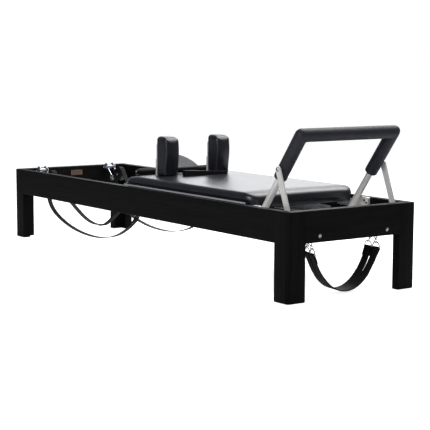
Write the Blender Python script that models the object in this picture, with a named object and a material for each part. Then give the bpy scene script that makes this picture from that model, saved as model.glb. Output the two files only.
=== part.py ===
"""A studio pilates reformer: an oak frame, a sprung rolling carriage, a footbar,
leather pull straps over pulleys, and a foot strap under the foot end.

Units are metres, +Z is up and the floor is z = 0.  The foot end (footbar) is at +X and
the head end (pulleys) at -X.  "near" pieces are on the -Y side, "far" pieces on the +Y side.
The origin is on the floor under the middle of the frame.
"""
import math

import bmesh
import bpy
from mathutils import Matrix, Vector

# ---------------------------------------------------------------- driving dimensions
LENGTH = 2.36
WIDTH = 0.68
HEIGHT = 0.365
PLANK = 0.040                # thickness of every frame board
RAIL_DEPTH = 0.130           # height of the side and end rails
LEG_ARM = 0.088              # each arm of an L-shaped leg post
EDGE_ROUND = 0.005           # on the long edges of the frame's planks
GAP = 0.0003                 # air between pieces that touch

CARRIAGE_HEAD = -0.127       # head and foot ends of the carriage at rest
CARRIAGE_FOOT = 0.837
CARRIAGE_TRAVEL = 0.76
DECK_LOW = 0.3548
DECK_TOP = 0.3717
EDGE_TOP = 0.3685            # the aluminium angles along its sides
MAT_LOW = 0.3720
MAT_TOP = 0.4110
MAT_HALF = 0.2895            # overhangs the aluminium edges
MAT_FOOT = 0.862             # the cover is drawn down over the foot end of the deck
MAT_ROLL = 0.784             # where its top begins to roll down to that end
MAT_SKIRT = 0.345            # the lower edge of that part
MAT_CORNERS = (0.085, 0.055) # plan radius at the head and foot ends
WHEEL_R = 0.022
WHEEL_WIDTH = 0.016
AXLE_R = 0.005
RUN_GAP = 0.0003             # clearance of a bore round its shaft

TRACK_TOP = 0.266            # the rolling surface
TRACK_T = 0.004

PIVOT = Vector((0.867, 0.0, 0.300))      # footbar hinge axis
BAR_Y = 0.244                            # centre line of the footbar's uprights
BAR_TOP = Vector((1.137, 0.0, 0.659))    # centre line of its cross bar
TUBE_R = 0.0145
FOAM_R = 0.0275
FOAM_START = 0.228                       # from the hinge axis to the foot of the foam
BRACE_TOP = (1.0400, 0.519)
BRACE_FOOT = (1.1235, 0.300)
BRACE_HALF = 0.0145
BRACE_Y = (0.2785, 0.2845)

REST_Y = 0.1457              # shoulder rests
REST_HALF = 0.0392
REST_LOW = 0.4115
REST_TOP = 0.594
REST_X = (-0.005, 0.067)
BRACKET_X = (-0.0235, -0.0055)
BRACKET_HALF = 0.030

HEADREST_HALF = 0.090
HEADREST_LONG = 0.122
HEADREST_TILT = math.radians(30.5)
HEADREST_FOOT = Vector((-0.057, 0.0, 0.4125))
HEADREST_AXIS = Vector((-0.057, 0.0, 0.4165))
WEDGE_X = (0.078, 0.100)
WEDGE_Y = (-0.097, 0.150)
WEDGE_TOP = (0.4375, 0.4235)  # its height at the near and far ends

PULLEY_Y = 0.210
PULLEY_HUB = (-1.000, 0.323)
PULLEY_R = 0.036
PULLEY_WIDTH = 0.026
LINK_TOP = (-1.115, 0.358)
LINK_LOW = (-1.055, 0.300)

STRAP_WIDTH = 0.025
STRAP_T = 0.0034
STRAP_LIFT = 0.0008          # air between a strap and the pulley wheel's tread

SPRING_Z = 0.2475
SPRING_R = 0.014
SPRING_YS = (-0.165, -0.055, 0.055, 0.165)
GEAR_BAR_X = (0.890, 0.910)
ANCHOR_X = (0.240, 0.260)

EYE_Y = 0.180
EYE_Z = 0.262
EYE_X = 1.105
FOOT_STRAP_X = 1.093
FOOT_STRAP_HALF = 0.045
FOOT_STRAP_T = 0.005
FOOT_STRAP_MIDDLE = 0.010    # it hangs a little to the far side
FOOT_STRAP_SPAN = 0.168      # from there to either end
FOOT_STRAP_TOP = 0.170
FOOT_STRAP_LOW = 0.0125

SIDES = (("near", -1.0), ("far", 1.0))

# ---------------------------------------------------------------- materials
FINISHES = {
    "black_oak": ((0.010, 0.009, 0.009), 0.50, 0.0),
    "deck_plywood": ((0.30, 0.20, 0.11), 0.60, 0.0),
    "aluminium": ((0.62, 0.61, 0.60), 0.35, 1.0),
    "chrome": ((0.70, 0.72, 0.74), 0.12, 1.0),
    "black_steel": ((0.012, 0.012, 0.013), 0.45, 0.0),
    "spring_steel": ((0.45, 0.45, 0.46), 0.30, 1.0),
    "black_vinyl": ((0.020, 0.020, 0.025), 0.40, 0.0),
    "black_leather": ((0.014, 0.013, 0.014), 0.55, 0.0),
    "polyurethane": ((0.015, 0.015, 0.016), 0.40, 0.0),
    "bronze_plate": ((0.16, 0.10, 0.07), 0.40, 1.0),
}
materials = {}


def finish(slot):
    """One Principled material for each finish, made the first time it is asked for."""
    if slot not in materials:
        colour, roughness, metallic = FINISHES[slot]
        mat = bpy.data.materials.new(slot)
        mat.use_nodes = True
        shader = mat.node_tree.nodes["Principled BSDF"]
        shader.inputs["Base Color"].default_value = (*colour, 1.0)
        shader.inputs["Roughness"].default_value = roughness
        shader.inputs["Metallic"].default_value = metallic
        mat.diffuse_color = (*colour, 1.0)
        materials[slot] = mat
    return materials[slot]


# ---------------------------------------------------------------- tools
def clear_scene():
    for obj in list(bpy.data.objects):
        bpy.data.objects.remove(obj, do_unlink=True)


def add_object(name, bm, slot=None):
    """Turn a bmesh into an object, with its faces pointing out and round parts smooth."""
    bmesh.ops.remove_doubles(bm, verts=bm.verts, dist=1e-6)
    bmesh.ops.recalc_face_normals(bm, faces=bm.faces)
    mesh = bpy.data.meshes.new(name)
    bm.to_mesh(mesh)
    bm.free()
    mesh.shade_smooth()
    mesh.set_sharp_from_angle(angle=math.radians(32))
    obj = bpy.data.objects.new(name, mesh)
    bpy.context.scene.collection.objects.link(obj)
    if slot is None:
        obj.hide_render = True
        obj.display_type = "WIRE"
    else:
        mesh.materials.append(finish(slot))
    return obj


def join_rings(bm, rings, closed=False):
    """Skin a list of vertex rings.  An open run is capped at both ends."""
    count = len(rings[0])
    pairs = list(zip(rings, rings[1:]))
    if closed:
        pairs.append((rings[-1], rings[0]))
    for low, high in pairs:
        for i in range(count):
            j = (i + 1) % count
            bm.faces.new((low[i], low[j], high[j], high[i]))
    if not closed:
        bm.faces.new(rings[0])
        bm.faces.new(list(reversed(rings[-1])))


def bevel(obj, width, segments=2):
    mod = obj.modifiers.new("edge_round", "BEVEL")
    mod.width = width
    mod.segments = segments
    mod.limit_method = "ANGLE"
    mod.angle_limit = math.radians(40)
    return obj


def soften(obj, width, wanted):
    """Round only the edges whose two ends satisfy the test, in three steps."""
    mesh = obj.data
    weights = mesh.attributes.new("bevel_weight_edge", "FLOAT", "EDGE")
    for edge, weight in zip(mesh.edges, weights.data):
        weight.value = float(wanted(*(mesh.vertices[i].co for i in edge.vertices)))
    bevel(obj, width, 3).modifiers["edge_round"].limit_method = "WEIGHT"
    return obj


def combine(obj, tools, operation):
    """Cut or weld the tool solids; the tools stay as hidden guides."""
    for tool in tools:
        mod = obj.modifiers.new(operation.lower(), "BOOLEAN")
        mod.object = tool
        mod.operation = operation
        mod.solver = "EXACT"
    return obj


def place(axis, u, v, w):
    """A point from two outline coordinates and one along the axis."""
    if axis == "x":
        return (w, u, v)
    if axis == "y":
        return (u, w, v)
    return (u, v, w)


def prism(name, outline, axis, low, high, slot=None):
    """An outline extruded along an axis between two levels."""
    bm = bmesh.new()
    rings = [[bm.verts.new(place(axis, u, v, w)) for u, v in outline] for w in (low, high)]
    join_rings(bm, rings)
    return add_object(name, bm, slot)


def box(name, x, y, z, slot=None):
    outline = [(x[0], y[0]), (x[1], y[0]), (x[1], y[1]), (x[0], y[1])]
    return prism(name, outline, "z", z[0], z[1], slot)


def circle(centre, radius, count=16, start=0.0, end=2 * math.pi):
    """Points on an arc; a full circle doesn't repeat its first point."""
    full = abs(end - start - 2 * math.pi) < 1e-9
    steps = count if full else count - 1
    angles = [start + (end - start) * i / steps for i in range(count)]
    return [(centre[0] + radius * math.cos(a), centre[1] + radius * math.sin(a)) for a in angles]


def rod(name, centre, radius, axis, low, high, slot=None, count=16):
    return prism(name, circle(centre, radius, count), axis, low, high, slot)


def rounded(points, radii, steps=4):
    """A polygon whose corners are arcs of the given radii."""
    outline = []
    total = len(points)
    for i, radius in enumerate(radii):
        corner = Vector(points[i])
        if radius <= 0:
            outline.append(tuple(corner))
            continue
        back = (Vector(points[i - 1]) - corner).normalized()
        ahead = (Vector(points[(i + 1) % total]) - corner).normalized()
        half = back.angle(ahead) / 2
        reach = radius / math.tan(half)
        centre = corner + (back + ahead).normalized() * radius / math.sin(half)
        first = corner + back * reach - centre
        last = corner + ahead * reach - centre
        sweep = first.angle_signed(last)
        for k in range(steps + 1):
            turned = Matrix.Rotation(-sweep * k / steps, 2) @ first
            outline.append(tuple(centre + turned))
    return outline


def capsule(a, b, radius_a, radius_b, count=9):
    """Two discs and the straight sides that touch both."""
    a, b = Vector(a), Vector(b)
    along = b - a
    heading = math.atan2(along.y, along.x)
    lean = math.acos((radius_a - radius_b) / along.length)
    ring_a = circle(a, radius_a, count, heading + lean, heading + 2 * math.pi - lean)
    ring_b = circle(b, radius_b, count, heading - lean, heading + lean)
    return ring_a + ring_b


def dumbbell(a, b, radius_a, radius_b, neck, count=13):
    """Two discs joined by a narrower neck, like a figure eight."""
    a, b = Vector(a), Vector(b)
    heading = math.atan2((b - a).y, (b - a).x)
    open_a = math.asin(neck / radius_a)
    open_b = math.asin(neck / radius_b)
    ring_a = circle(a, radius_a, count, heading + open_a, heading + 2 * math.pi - open_a)
    ring_b = circle(b, radius_b, count, heading + math.pi + open_b, heading + 3 * math.pi - open_b)
    return ring_a + ring_b


def turned(name, profile, axis, centre, slot=None, count=16):
    """A lathe form: (radius, position) pairs along an axis, capped at both ends."""
    bm = bmesh.new()
    rings = []
    for radius, position in profile:
        ring = circle(centre, radius, count)
        rings.append([bm.verts.new(place(axis, u, v, position)) for u, v in ring])
    join_rings(bm, rings)
    return add_object(name, bm, slot)


def wheel(name, hub, y_mid, radius, width, bore, slot, crown=0.0, count=28):
    """A wheel on the Y axis with a through bore; crown lifts the rims of the tread."""
    half = width / 2
    section = [(bore, -half), (radius + crown, -half), (radius + crown, -0.8 * half),
               (radius, -0.7 * half), (radius, 0.7 * half),
               (radius + crown, 0.8 * half), (radius + crown, half), (bore, half)]
    bm = bmesh.new()
    rings = []
    for i in range(count):
        angle = 2 * math.pi * i / count
        ring = [(hub[0] + r * math.cos(angle), y_mid + y, hub[1] + r * math.sin(angle)) for r, y in section]
        rings.append([bm.verts.new(point) for point in ring])
    join_rings(bm, rings, closed=True)
    return add_object(name, bm, slot)


def wire_loop(name, points, normal, radius, slot=None, count=8):
    """A round wire bent into a closed flat loop that lies square to the normal."""
    bm = bmesh.new()
    rings = []
    total = len(points)
    points = [Vector(p) for p in points]
    for i, point in enumerate(points):
        tangent = (points[(i + 1) % total] - points[i - 1]).normalized()
        side = normal.cross(tangent).normalized()
        ring = []
        for k in range(count):
            angle = 2 * math.pi * k / count
            ring.append(bm.verts.new(point + radius * (math.cos(angle) * side + math.sin(angle) * normal)))
        rings.append(ring)
    join_rings(bm, rings, closed=True)
    return add_object(name, bm, slot)


def ribbon(name, points, widths, thickness, across, slot):
    """A flat strip along points in a plane square to `across`, its width along `across`."""
    bm = bmesh.new()
    rings = []
    for i, point in enumerate(points):
        before = points[max(i - 1, 0)]
        after = points[min(i + 1, len(points) - 1)]
        tangent = after - before
        tangent -= across * tangent.dot(across)
        normal = tangent.normalized().cross(across)
        corners = ((-1, -1), (1, -1), (1, 1), (-1, 1))
        half_width = widths / 2
        ring = [point + across * half_width * s + normal * thickness / 2 * t for s, t in corners]
        rings.append([bm.verts.new(corner) for corner in ring])
    join_rings(bm, rings)
    return add_object(name, bm, slot)


def smooth_path(points, per_span=3):
    """A Catmull-Rom curve through the route's own points."""
    padded = [points[0] * 2 - points[1]] + points + [points[-1] * 2 - points[-2]]
    path = []
    for p0, p1, p2, p3 in zip(padded, padded[1:], padded[2:], padded[3:]):
        for k in range(per_span):
            t = k / per_span
            path.append(0.5 * (2 * p1 + (p2 - p0) * t + (2 * p0 - 5 * p1 + 4 * p2 - p3) * t * t
                               + (3 * p1 - p0 - 3 * p2 + p3) * t * t * t))
    path.append(points[-1])
    return path


def joint_frame(name, position, pieces):
    """An empty on a joint's axis that carries the pieces that turn or slide there."""
    empty = bpy.data.objects.new(name, None)
    empty.location = position
    bpy.context.scene.collection.objects.link(empty)
    for piece in pieces:
        piece.parent = empty
        piece.location = piece.location - Vector(position)
    return empty


# ---------------------------------------------------------------- frame
def build_frame():
    half_l, half_w = LENGTH / 2, WIDTH / 2
    rail_low = HEIGHT - RAIL_DEPTH
    for end, sx in (("head", -1.0), ("foot", 1.0)):
        for side, sy in SIDES:
            outer = (sx * half_l, sy * half_w)
            inner_x = sx * (half_l - PLANK)
            inner_y = sy * (half_w - PLANK)
            arm_x = sx * (half_l - LEG_ARM)
            arm_y = sy * (half_w - LEG_ARM)
            corners = [outer, (outer[0], arm_y), (inner_x, arm_y), (inner_x, inner_y),
                       (arm_x, inner_y), (arm_x, outer[1])]
            outline = rounded(corners, [0.014, 0, 0, 0, 0, 0])
            leg = prism(f"leg_{end}_{side}", outline, "z", 0.0, HEIGHT, "black_oak")
            soften(leg, EDGE_ROUND, lambda a, b, x=arm_x, y=arm_y: abs(a.z - b.z) < 0.001
                   and not abs(a.x - x) + abs(b.x - x) < 0.001 and not abs(a.y - y) + abs(b.y - y) < 0.001)

    rail_end = half_l - LEG_ARM - GAP
    for side, sy in SIDES:
        across = sorted((sy * (half_w - PLANK), sy * half_w))
        rail = box(f"side_rail_{side}", (-rail_end, rail_end), across, (rail_low, HEIGHT), "black_oak")
        soften(rail, EDGE_ROUND, lambda a, b: abs(a.x - b.x) > 0.1)

    board_end = half_w - LEG_ARM - GAP
    for end, sx in (("head", -1.0), ("foot", 1.0)):
        along = sorted((sx * (half_l - PLANK), sx * half_l))
        board = box(f"end_rail_{end}", along, (-board_end, board_end), (rail_low, HEIGHT), "black_oak")
        soften(board, EDGE_ROUND, lambda a, b: abs(a.y - b.y) > 0.1)
        if end == "foot":
            holes = [rod(f"cut_eye_{side}", (sy * EYE_Y, EYE_Z), 0.0043, "x", 1.10, 1.30)
                     for side, sy in SIDES]
            combine(board, holes, "DIFFERENCE")

    inner = half_l - PLANK - GAP
    batten = box("foot_cross_batten", (inner - 0.028, inner), (-0.272, 0.272), (0.282, 0.330), "black_oak")
    bevel(batten, 0.002)
    plate = box("name_plate", (-inner, -inner + 0.002), (-0.022, 0.050), (0.3165, 0.3445), "bronze_plate")
    bevel(plate, 0.0006, 1)


def build_tracks():
    for side, sy in SIDES:
        wall, lip = sy * (0.300 - GAP), sy * 0.262
        web = sy * (0.300 - GAP - TRACK_T)
        outline = [(wall, TRACK_TOP - TRACK_T), (wall, 0.305), (web, 0.305), (web, TRACK_TOP),
                   (lip, TRACK_TOP), (lip, TRACK_TOP - TRACK_T)]
        prism(f"track_{side}", outline, "x", -0.885, 0.840, "aluminium")


# ---------------------------------------------------------------- carriage
def mat_ring(inset):
    """The mat's plan outline, drawn in by an inset."""
    x0, x1 = CARRIAGE_HEAD - 0.003 + inset, MAT_FOOT - inset
    y = MAT_HALF - inset
    head, foot = (max(radius - inset, 0.02) for radius in MAT_CORNERS)
    return rounded([(x0, -y), (x1, -y), (x1, y), (x0, y)], [head, foot, foot, head], 6)


def mat_roll(x, z):
    """How far the mat's upper side is drawn down towards its foot end."""
    along = min(max((x - MAT_ROLL) / (MAT_FOOT - MAT_ROLL), 0.0), 1.0)
    share = (z - MAT_LOW) / (MAT_TOP - MAT_LOW)
    return 0.026 * share * (1.0 - math.sqrt(1.0 - along * along))


def build_mat():
    levels = ((0.004, MAT_LOW), (0.0, 0.380), (0.001, 0.392), (0.006, 0.4015), (0.016, 0.4075),
              (0.040, MAT_TOP), (0.082, MAT_TOP))
    bm = bmesh.new()
    rings = [[bm.verts.new((x, y, z - mat_roll(x, z))) for x, y in mat_ring(inset)] for inset, z in levels]
    join_rings(bm, rings)
    mat = add_object("carriage_mat", bm, "black_vinyl")
    skirt = prism("guide_skirt", mat_ring(0.001), "z", MAT_SKIRT, 0.3738)
    behind = box("cut_skirt", (-1.0, CARRIAGE_FOOT + GAP), (-0.5, 0.5), (0.30, 0.42))
    combine(skirt, [behind], "DIFFERENCE")
    combine(mat, [skirt], "UNION")
    return mat


def slot_cutters(tag, low, high):
    wide = BRACKET_HALF + GAP
    return [box(f"cut_{tag}_{side}", (BRACKET_X[0] - GAP, BRACKET_X[1] + GAP),
                (sy * REST_Y - wide, sy * REST_Y + wide), (low, high)) for side, sy in SIDES]


def build_carriage():
    pieces = []
    deck = box("carriage_deck", (CARRIAGE_HEAD, CARRIAGE_FOOT), (-0.2877, 0.2877),
               (DECK_LOW, DECK_TOP), "deck_plywood")
    combine(deck, slot_cutters("deck", DECK_LOW - 0.01, DECK_TOP + 0.01), "DIFFERENCE")
    mat = build_mat()
    combine(mat, slot_cutters("mat", MAT_LOW - 0.01, MAT_TOP + 0.01), "DIFFERENCE")
    pieces += [deck, mat]
    for side, sy in SIDES:
        outline = [(sy * 0.292, 0.318), (sy * 0.292, EDGE_TOP), (sy * 0.288, EDGE_TOP),
                   (sy * 0.288, 0.3545), (sy * 0.262, 0.3545), (sy * 0.262, 0.3505),
                   (sy * 0.288, 0.3505), (sy * 0.288, 0.318)]
        pieces.append(prism(f"carriage_side_{side}", outline, "x", CARRIAGE_HEAD, CARRIAGE_FOOT, "aluminium"))

    low = SPRING_Z - 0.0125
    anchor_outline = [(-0.20, low), (0.20, low), (0.20, DECK_LOW - GAP), (0.18, DECK_LOW - GAP),
                      (0.18, low + 0.025), (-0.18, low + 0.025), (-0.18, DECK_LOW - GAP),
                      (-0.20, DECK_LOW - GAP)]
    pieces.append(prism("spring_anchor_bar", anchor_outline, "x", *ANCHOR_X, "black_steel"))

    axle_z = TRACK_TOP + GAP + WHEEL_R
    top = DECK_LOW - GAP
    for end, x in (("head", -0.075), ("foot", 0.760)):
        outline = [(-0.2615, 0.278), (-0.2615, top), (0.2615, top), (0.2615, 0.278), (0.245, 0.278),
                   (0.245, 0.330), (-0.245, 0.330), (-0.245, 0.278)]
        beam = prism(f"axle_beam_{end}", outline, "x", x - 0.012, x + 0.012, "black_steel")
        pins = []
        for side, sy in SIDES:
            span = sorted((sy * 0.250, sy * 0.2865))
            pins.append(rod(f"guide_axle_{end}_{side}", (x, axle_z), AXLE_R, "y", *span))
            rolling = wheel(f"carriage_wheel_{end}_{side}", (x, axle_z), sy * 0.276, WHEEL_R,
                            WHEEL_WIDTH, AXLE_R + RUN_GAP, "polyurethane")
            joint_frame(f"axis_wheel_{end}_{side}", (x, sy * 0.276, axle_z), [rolling])
        combine(beam, pins, "UNION")
        pieces.append(beam)

    for side, sy in SIDES:
        length = 0.065
        mid = sy * 0.170
        profile = [(0.0045, -length - 0.004), (0.006, -length - 0.002), (0.006, -length), (0.0125, -length),
                   (0.0140, -0.8 * length), (0.0145, 0.0), (0.0140, 0.8 * length), (0.0125, length),
                   (0.006, length), (0.006, length + 0.002), (0.0045, length + 0.004)]
        placed = [(r, mid + y) for r, y in profile]
        pieces.append(turned(f"pull_handle_{side}", placed, "y", (-0.100, 0.4245), "black_steel"))

    low = MAT_TOP + GAP
    wedge_outline = [(WEDGE_Y[0], low), (WEDGE_Y[1], low), (WEDGE_Y[1], WEDGE_TOP[1]), (WEDGE_Y[0], WEDGE_TOP[0])]
    wedge = prism("headrest_wedge", wedge_outline, "x", *WEDGE_X, "black_steel")
    pieces.append(bevel(wedge, 0.002))
    joint_frame("axis_carriage", (0.355, 0.0, TRACK_TOP), pieces)


def build_shoulder_rests():
    for side, sy in SIDES:
        mid = sy * REST_Y
        half = REST_HALF
        outline = rounded([(mid - half, REST_LOW), (mid + half, REST_LOW), (mid + half, REST_TOP),
                           (mid - half, REST_TOP)], [0.010, 0.010, 0.018, 0.018])
        pad = prism(f"shoulder_pad_{side}", outline, "x", *REST_X, "black_vinyl")
        bevel(pad, 0.007, 3)
        wide = BRACKET_HALF
        bar_outline = rounded([(mid - wide, 0.310), (mid + wide, 0.310), (mid + wide, 0.562),
                               (mid - wide, 0.562)], [0.004, 0.004, 0.010, 0.010])
        bar = prism(f"shoulder_bracket_{side}", bar_outline, "x", *BRACKET_X, "aluminium")
        back = BRACKET_X[0] - 0.008
        block = box(f"guide_block_{side}", (back, BRACKET_X[0] + 0.005), (mid - wide + 0.001, mid + wide - 0.001),
                    (REST_LOW, 0.487))
        knob = rod(f"guide_knob_{side}", (mid, 0.465), 0.010, "x", back - 0.012, back + 0.004)
        combine(bar, [block, knob], "UNION")
        joint_frame(f"axis_shoulder_{side}", (BRACKET_X[0], mid, DECK_TOP), [pad, bar])


def headrest_slab(name, low, high, shrink, slot):
    """A half-ellipse slab in the headrest's own tilted frame, round end towards the head."""
    steps = 20
    outline = []
    for i in range(steps + 1):
        angle = math.pi * i / steps
        outline.append((-(HEADREST_LONG - shrink) * math.sin(angle), (HEADREST_HALF - shrink) * math.cos(angle)))
    slab = prism(name, outline, "z", low, high, slot)
    slab.location = HEADREST_FOOT
    slab.rotation_euler = (0.0, HEADREST_TILT, 0.0)
    return slab


def build_headrest():
    board = headrest_slab("headrest_board", 0.0, 0.008, 0.006, "black_steel")
    pad = headrest_slab("headrest_pad", 0.008 + GAP, 0.030, 0.0, "black_vinyl")
    bevel(pad, 0.006, 3)
    joint_frame("axis_headrest", HEADREST_AXIS, [board, pad])


# ---------------------------------------------------------------- springs and gear bar
def build_springs():
    low = SPRING_Z - 0.0125
    bar = box("gear_bar", GEAR_BAR_X, (-0.2997, 0.2997), (low, low + 0.025), "black_steel")
    bevel(bar, 0.002)
    for number, y in enumerate(SPRING_YS, 1):
        rod(f"carriage_spring_{number}", (y, SPRING_Z), SPRING_R, "x", ANCHOR_X[1] + GAP,
            GEAR_BAR_X[0] - GAP, "spring_steel", 12)


# ---------------------------------------------------------------- footbar
def mitred_tube(name, points, radius, slot=None, count=16, bore=None):
    """A tube along straight runs, mitred where they meet; a bore makes it a sleeve."""
    across = []
    for i, point in enumerate(points):
        back = (point - points[i - 1]).normalized() if i else None
        ahead = (points[i + 1] - point).normalized() if i + 1 < len(points) else None
        across.append((back or ahead) + (ahead or back))
    first = (points[1] - points[0]).normalized()
    side = first.orthogonal().normalized()
    up = first.cross(side)
    bm = bmesh.new()
    layers = []
    for wall in ([radius] if bore is None else [radius, bore]):
        ring = [points[0] + wall * (math.cos(2 * math.pi * k / count) * side
                                    + math.sin(2 * math.pi * k / count) * up) for k in range(count)]
        rings = [ring]
        for i in range(1, len(points)):
            run = (points[i] - points[i - 1]).normalized()
            plane = across[i].normalized()
            ring = [p + run * (points[i] - p).dot(plane) / run.dot(plane) for p in rings[-1]]
            rings.append(ring)
        layers.append([[bm.verts.new(p) for p in r] for r in rings])
    if bore is None:
        join_rings(bm, layers[0])
    else:
        loop = layers[0] + list(reversed(layers[1]))
        join_rings(bm, loop, closed=True)
    return add_object(name, bm, slot)


def sleeve(name, start, end, start_plane, end_plane, slot):
    """One foam sleeve round the tube, cut square or on a mitre plane at each end."""
    run = (end - start).normalized()
    side = run.orthogonal().normalized()
    up = run.cross(side)
    count = 20
    bm = bmesh.new()
    rings = []
    for wall, cuts in ((FOAM_R, ((start, start_plane), (end, end_plane))),
                       (TUBE_R + GAP, ((end, end_plane), (start, start_plane)))):
        for point, plane in cuts:
            ring = []
            for k in range(count):
                angle = 2 * math.pi * k / count
                base = start + wall * (math.cos(angle) * side + math.sin(angle) * up)
                ring.append(bm.verts.new(base + run * (point - base).dot(plane) / run.dot(plane)))
            rings.append(ring)
    join_rings(bm, rings, closed=True)
    return add_object(name, bm, slot)


def build_footbar():
    lift = (BAR_TOP - PIVOT).normalized()
    feet = {sy: Vector((PIVOT.x, sy * BAR_Y, PIVOT.z)) for _, sy in SIDES}
    tops = {sy: Vector((BAR_TOP.x, sy * BAR_Y, BAR_TOP.z)) for _, sy in SIDES}
    tube = mitred_tube("footbar_tube", [feet[-1.0], tops[-1.0], tops[1.0], feet[1.0]], TUBE_R, "aluminium")
    hubs, bores = [], []
    for side, sy in SIDES:
        hubs.append(rod(f"guide_hub_{side}", (PIVOT.x, PIVOT.z), 0.0175, "y", sy * BAR_Y - 0.0150,
                        sy * BAR_Y + 0.0150, count=20))
        bores.append(rod(f"cut_bore_{side}", (PIVOT.x, PIVOT.z), 0.006 + RUN_GAP, "y", sy * BAR_Y - 0.03,
                         sy * BAR_Y + 0.03))
    combine(tube, hubs, "UNION")
    combine(tube, bores, "DIFFERENCE")

    pieces = [tube]
    across = Vector((0.0, 1.0, 0.0))
    seam = 0.0002
    for side, sy in SIDES:
        mitre = (lift - across * sy).normalized()
        start = feet[sy] + lift * FOAM_START
        pieces.append(sleeve(f"footbar_foam_{side}", start, tops[sy] - lift * seam, lift, mitre, "black_vinyl"))
    near_plane = (across + lift).normalized()
    far_plane = (across - lift).normalized()
    pieces.append(sleeve("footbar_foam_top", tops[-1.0] + across * seam, tops[1.0] - across * seam,
                         near_plane, far_plane, "black_vinyl"))
    joint_frame("axis_footbar", PIVOT, pieces)

    for side, sy in SIDES:
        plate_outline = [(0.849, 0.282), (0.889, 0.282), (0.942, 0.334), (0.942, 0.3645), (0.898, 0.3645),
                         (0.849, 0.318)]
        plate = prism(f"footbar_hinge_plate_{side}", rounded(plate_outline, [0.005] * 6, 2), "y",
                      *sorted((sy * 0.2885, sy * (0.300 - GAP))), "aluminium")
        pin = rod(f"guide_pin_{side}", (PIVOT.x, PIVOT.z), 0.006, "y", *sorted((sy * 0.2235, sy * 0.293)))
        combine(plate, [pin], "UNION")

        blade = prism(f"footbar_brace_{side}", capsule(BRACE_TOP, BRACE_FOOT, BRACE_HALF, BRACE_HALF), "y",
                      *sorted((sy * BRACE_Y[0], sy * BRACE_Y[1])), "aluminium")
        stud = rod(f"guide_stud_{side}", BRACE_TOP, 0.0055, "y", *sorted((sy * 0.2725, sy * 0.2875)))
        combine(blade, [stud], "UNION")
        joint_frame(f"axis_brace_{side}", (BRACE_TOP[0], sy * 0.2815, BRACE_TOP[1]), [blade])


# ---------------------------------------------------------------- pulleys and pull straps
def build_pulleys():
    wall = -(LENGTH / 2 - PLANK) + GAP
    for side, sy in SIDES:
        mid = sy * PULLEY_Y
        eight = dumbbell(LINK_TOP, LINK_LOW, 0.0200, 0.0165, 0.009)
        bracket = prism(f"pulley_bracket_{side}", eight, "y", mid - 0.0215, mid - 0.0180, "chrome")
        parts = [prism(f"guide_cheek_{side}", eight, "y", mid + 0.0180, mid + 0.0215),
                 rod(f"guide_spacer_{side}", LINK_TOP, 0.010, "y", mid - 0.020, mid + 0.020),
                 box(f"guide_foot_{side}", (wall, LINK_TOP[0]), (mid - 0.012, mid + 0.012), (0.344, 0.364))]
        combine(bracket, parts, "UNION")

        arm = capsule(LINK_LOW, PULLEY_HUB, 0.0095, 0.0110)
        fork = prism(f"pulley_fork_{side}", arm, "y", mid - 0.0174, mid - 0.0145, "black_steel")
        parts = [prism(f"guide_arm_{side}", arm, "y", mid + 0.0145, mid + 0.0174),
                 rod(f"guide_hub_pin_{side}", PULLEY_HUB, 0.004, "y", mid - 0.016, mid + 0.016),
                 rod(f"guide_link_pin_{side}", LINK_LOW, 0.005, "y", mid - 0.016, mid + 0.016)]
        combine(fork, parts, "UNION")
        sheave = wheel(f"pulley_wheel_{side}", PULLEY_HUB, mid, PULLEY_R, PULLEY_WIDTH,
                       0.004 + RUN_GAP, "polyurethane")
        joint_frame(f"axis_pulley_{side}", (PULLEY_HUB[0], mid, PULLEY_HUB[1]), [sheave])


def strap_route(sy):
    """From under the carriage, down in a long loop, over the pulley, and back in a short
    loop to the handle on the carriage."""
    y = sy * PULLEY_Y
    long_loop = [(-0.105, 0.3535), (-0.108, 0.310), (-0.117, 0.250), (-0.145, 0.195), (-0.215, 0.143),
                 (-0.330, 0.091), (-0.480, 0.062), (-0.640, 0.061), (-0.800, 0.083), (-0.935, 0.124),
                 (-1.012, 0.170), (-1.043, 0.225), (-1.045, 0.285)]
    lift = PULLEY_R + STRAP_LIFT + STRAP_T / 2
    over = circle(PULLEY_HUB, lift, 9, math.radians(170), math.radians(35))
    short_loop = [(-0.944, 0.310), (-0.905, 0.275), (-0.850, 0.240), (-0.788, 0.208), (-0.724, 0.177),
                  (-0.651, 0.146), (-0.578, 0.128), (-0.517, 0.125), (-0.457, 0.132), (-0.417, 0.148),
                  (-0.367, 0.178), (-0.300, 0.220), (-0.235, 0.258), (-0.180, 0.305), (-0.150, 0.350),
                  (-0.142, 0.385), (-0.137, 0.408)]
    return smooth_path([Vector((x, y, z)) for x, z in long_loop + over + short_loop], 2)


def build_pull_straps():
    across = Vector((0.0, 1.0, 0.0))
    for side, sy in SIDES:
        ribbon(f"pull_strap_{side}", strap_route(sy), STRAP_WIDTH, STRAP_T, across, "black_leather")


# ---------------------------------------------------------------- foot strap
def foot_strap_point(t):
    """A hanging chain's curve between the two ends, t from -1 to 1."""
    steep = 1.9
    rise = (math.cosh(steep * t) - 1) / (math.cosh(steep) - 1)
    return Vector((FOOT_STRAP_X, FOOT_STRAP_MIDDLE + FOOT_STRAP_SPAN * t,
                   FOOT_STRAP_LOW + (FOOT_STRAP_TOP - FOOT_STRAP_LOW) * rise))


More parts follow.
